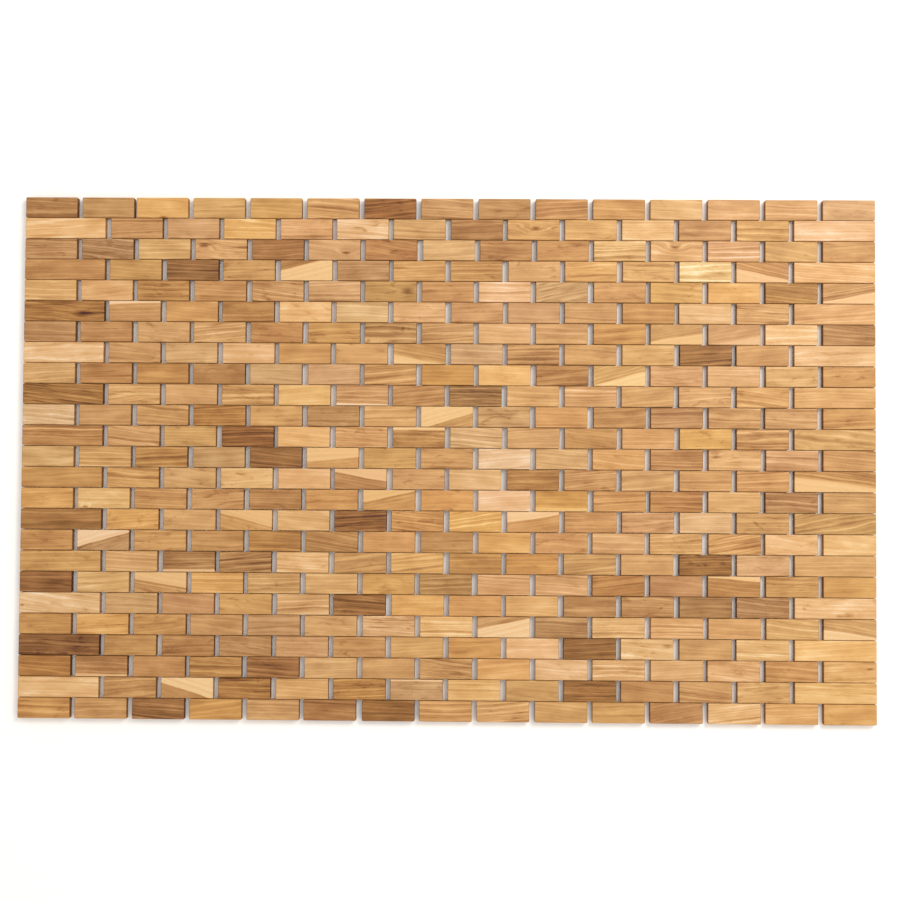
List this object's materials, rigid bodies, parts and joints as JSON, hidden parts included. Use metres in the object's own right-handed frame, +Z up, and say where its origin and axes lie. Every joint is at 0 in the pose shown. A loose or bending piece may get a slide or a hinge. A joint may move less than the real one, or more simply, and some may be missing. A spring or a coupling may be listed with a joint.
{
  "type": "bath mat",
  "caption": "Flat roll-up bath mat of small oiled hardwood blocks in brick bond, strung row to row on hidden elastic cords, with drain gaps between the blocks.",
  "frame": {"origin": "middle of the underside", "axes": "+X along the rows of blocks, +Y from the front edge to the back edge, +Z up"},
  "size_m": [0.7994, 0.4896, 0.008],
  "materials": {
    "teak": "oiled, satin, mixed honey, pale and brown blocks",
    "elastic_cord": "braided elastic, matt dark brown"
  },
  "bodies": {
    "row_01": {"block_row_01": "teak", "cords_row_01": "elastic_cord"},
    "row_02": {"block_row_02": "teak", "cords_row_02": "elastic_cord"},
    "row_03": {"block_row_03": "teak", "cords_row_03": "elastic_cord"},
    "row_04": {"block_row_04": "teak", "cords_row_04": "elastic_cord"},
    "row_05": {"block_row_05": "teak", "cords_row_05": "elastic_cord"},
    "row_06": {"block_row_06": "teak", "cords_row_06": "elastic_cord"},
    "row_07": {"block_row_07": "teak", "cords_row_07": "elastic_cord"},
    "row_08": {"block_row_08": "teak", "cords_row_08": "elastic_cord"},
    "row_09": {"block_row_09": "teak", "cords_row_09": "elastic_cord"},
    "row_10": {"block_row_10": "teak", "cords_row_10": "elastic_cord"},
    "row_11": {"block_row_11": "teak", "cords_row_11": "elastic_cord"},
    "row_12": {"block_row_12": "teak", "cords_row_12": "elastic_cord"},
    "row_13": {"block_row_13": "teak", "cords_row_13": "elastic_cord"},
    "row_14": {"block_row_14": "teak", "cords_row_14": "elastic_cord"},
    "row_15": {"block_row_15": "teak", "cords_row_15": "elastic_cord"},
    "row_16": {"block_row_16": "teak", "cords_row_16": "elastic_cord"},
    "row_17": {"block_row_17": "teak", "cords_row_17": "elastic_cord"},
    "row_18": {"block_row_18": "teak", "cords_row_18": "elastic_cord"},
    "row_19": {"block_row_19": "teak", "cords_row_19": "elastic_cord"},
    "row_20": {"block_row_20": "teak", "cords_row_20": "elastic_cord"},
    "row_21": {"block_row_21": "teak", "cords_row_21": "elastic_cord"},
    "row_22": {"block_row_22": "teak", "cords_row_22": "elastic_cord"},
    "row_23": {"block_row_23": "teak", "cords_row_23": "elastic_cord"},
    "row_24": {"block_row_24": "teak", "cords_row_24": "elastic_cord"},
    "row_25": {"block_row_25": "teak", "cords_row_25": "elastic_cord"}
  },
  "joints": [
    {"name": "seam_01_02", "type": "hinge", "parent": "row_01", "child": "row_02", "pos_m": [0, 0.2254, 0.008], "axis": [-1, 0, 0], "range_deg": [-2, 25]},
    {"name": "seam_02_03", "type": "hinge", "parent": "row_02", "child": "row_03", "pos_m": [0, 0.2058, 0.008], "axis": [-1, 0, 0], "range_deg": [-2, 25]},
    {"name": "seam_03_04", "type": "hinge", "parent": "row_03", "child": "row_04", "pos_m": [0, 0.1862, 0.008], "axis": [-1, 0, 0], "range_deg": [-2, 26]},
    {"name": "seam_04_05", "type": "hinge", "parent": "row_04", "child": "row_05", "pos_m": [0, 0.1666, 0.008], "axis": [-1, 0, 0], "range_deg": [-2, 26]},
    {"name": "seam_05_06", "type": "hinge", "parent": "row_05", "child": "row_06", "pos_m": [0, 0.147, 0.008], "axis": [-1, 0, 0], "range_deg": [-2, 27]},
    {"name": "seam_06_07", "type": "hinge", "parent": "row_06", "child": "row_07", "pos_m": [0, 0.1274, 0.008], "axis": [-1, 0, 0], "range_deg": [-2, 27]},
    {"name": "seam_07_08", "type": "hinge", "parent": "row_07", "child": "row_08", "pos_m": [0, 0.1078, 0.008], "axis": [-1, 0, 0], "range_deg": [-2, 28]},
    {"name": "seam_08_09", "type": "hinge", "parent": "row_08", "child": "row_09", "pos_m": [0, 0.0882, 0.008], "axis": [-1, 0, 0], "range_deg": [-2, 29]},
    {"name": "seam_09_10", "type": "hinge", "parent": "row_09", "child": "row_10", "pos_m": [0, 0.0686, 0.008], "axis": [-1, 0, 0], "range_deg": [-2, 29]},
    {"name": "seam_10_11", "type": "hinge", "parent": "row_10", "child": "row_11", "pos_m": [0, 0.049, 0.008], "axis": [-1, 0, 0], "range_deg": [-2, 30]},
    {"name": "seam_11_12", "type": "hinge", "parent": "row_11", "child": "row_12", "pos_m": [0, 0.0294, 0.008], "axis": [-1, 0, 0], "range_deg": [-2, 31]},
    {"name": "seam_12_13", "type": "hinge", "parent": "row_12", "child": "row_13", "pos_m": [0, 0.0098, 0.008], "axis": [-1, 0, 0], "range_deg": [-2, 31]},
    {"name": "seam_13_14", "type": "hinge", "parent": "row_13", "child": "row_14", "pos_m": [0, -0.0098, 0.008], "axis": [-1, 0, 0], "range_deg": [-2, 32]},
    {"name": "seam_14_15", "type": "hinge", "parent": "row_14", "child": "row_15", "pos_m": [0, -0.0294, 0.008], "axis": [-1, 0, 0], "range_deg": [-2, 33]},
    {"name": "seam_15_16", "type": "hinge", "parent": "row_15", "child": "row_16", "pos_m": [0, -0.049, 0.008], "axis": [-1, 0, 0], "range_deg": [-2, 34]},
    {"name": "seam_16_17", "type": "hinge", "parent": "row_16", "child": "row_17", "pos_m": [0, -0.0686, 0.008], "axis": [-1, 0, 0], "range_deg": [-2, 36]},
    {"name": "seam_17_18", "type": "hinge", "parent": "row_17", "child": "row_18", "pos_m": [0, -0.0882, 0.008], "axis": [-1, 0, 0], "range_deg": [-2, 37]},
    {"name": "seam_18_19", "type": "hinge", "parent": "row_18", "child": "row_19", "pos_m": [0, -0.1078, 0.008], "axis": [-1, 0, 0], "range_deg": [-2, 38]},
    {"name": "seam_19_20", "type": "hinge", "parent": "row_19", "child": "row_20", "pos_m": [0, -0.1274, 0.008], "axis": [-1, 0, 0], "range_deg": [-2, 40]},
    {"name": "seam_20_21", "type": "hinge", "parent": "row_20", "child": "row_21", "pos_m": [0, -0.147, 0.008], "axis": [-1, 0, 0], "range_deg": [-2, 42]},
    {"name": "seam_21_22", "type": "hinge", "parent": "row_21", "child": "row_22", "pos_m": [0, -0.1666, 0.008], "axis": [-1, 0, 0], "range_deg": [-2, 44]},
    {"name": "seam_22_23", "type": "hinge", "parent": "row_22", "child": "row_23", "pos_m": [0, -0.1862, 0.008], "axis": [-1, 0, 0], "range_deg": [-2, 47]},
    {"name": "seam_23_24", "type": "hinge", "parent": "row_23", "child": "row_24", "pos_m": [0, -0.2058, 0.008], "axis": [-1, 0, 0], "range_deg": [-2, 50]},
    {"name": "seam_24_25", "type": "hinge", "parent": "row_24", "child": "row_25", "pos_m": [0, -0.2254, 0.008], "axis": [-1, 0, 0], "range_deg": [-2, 54]}
  ]
}
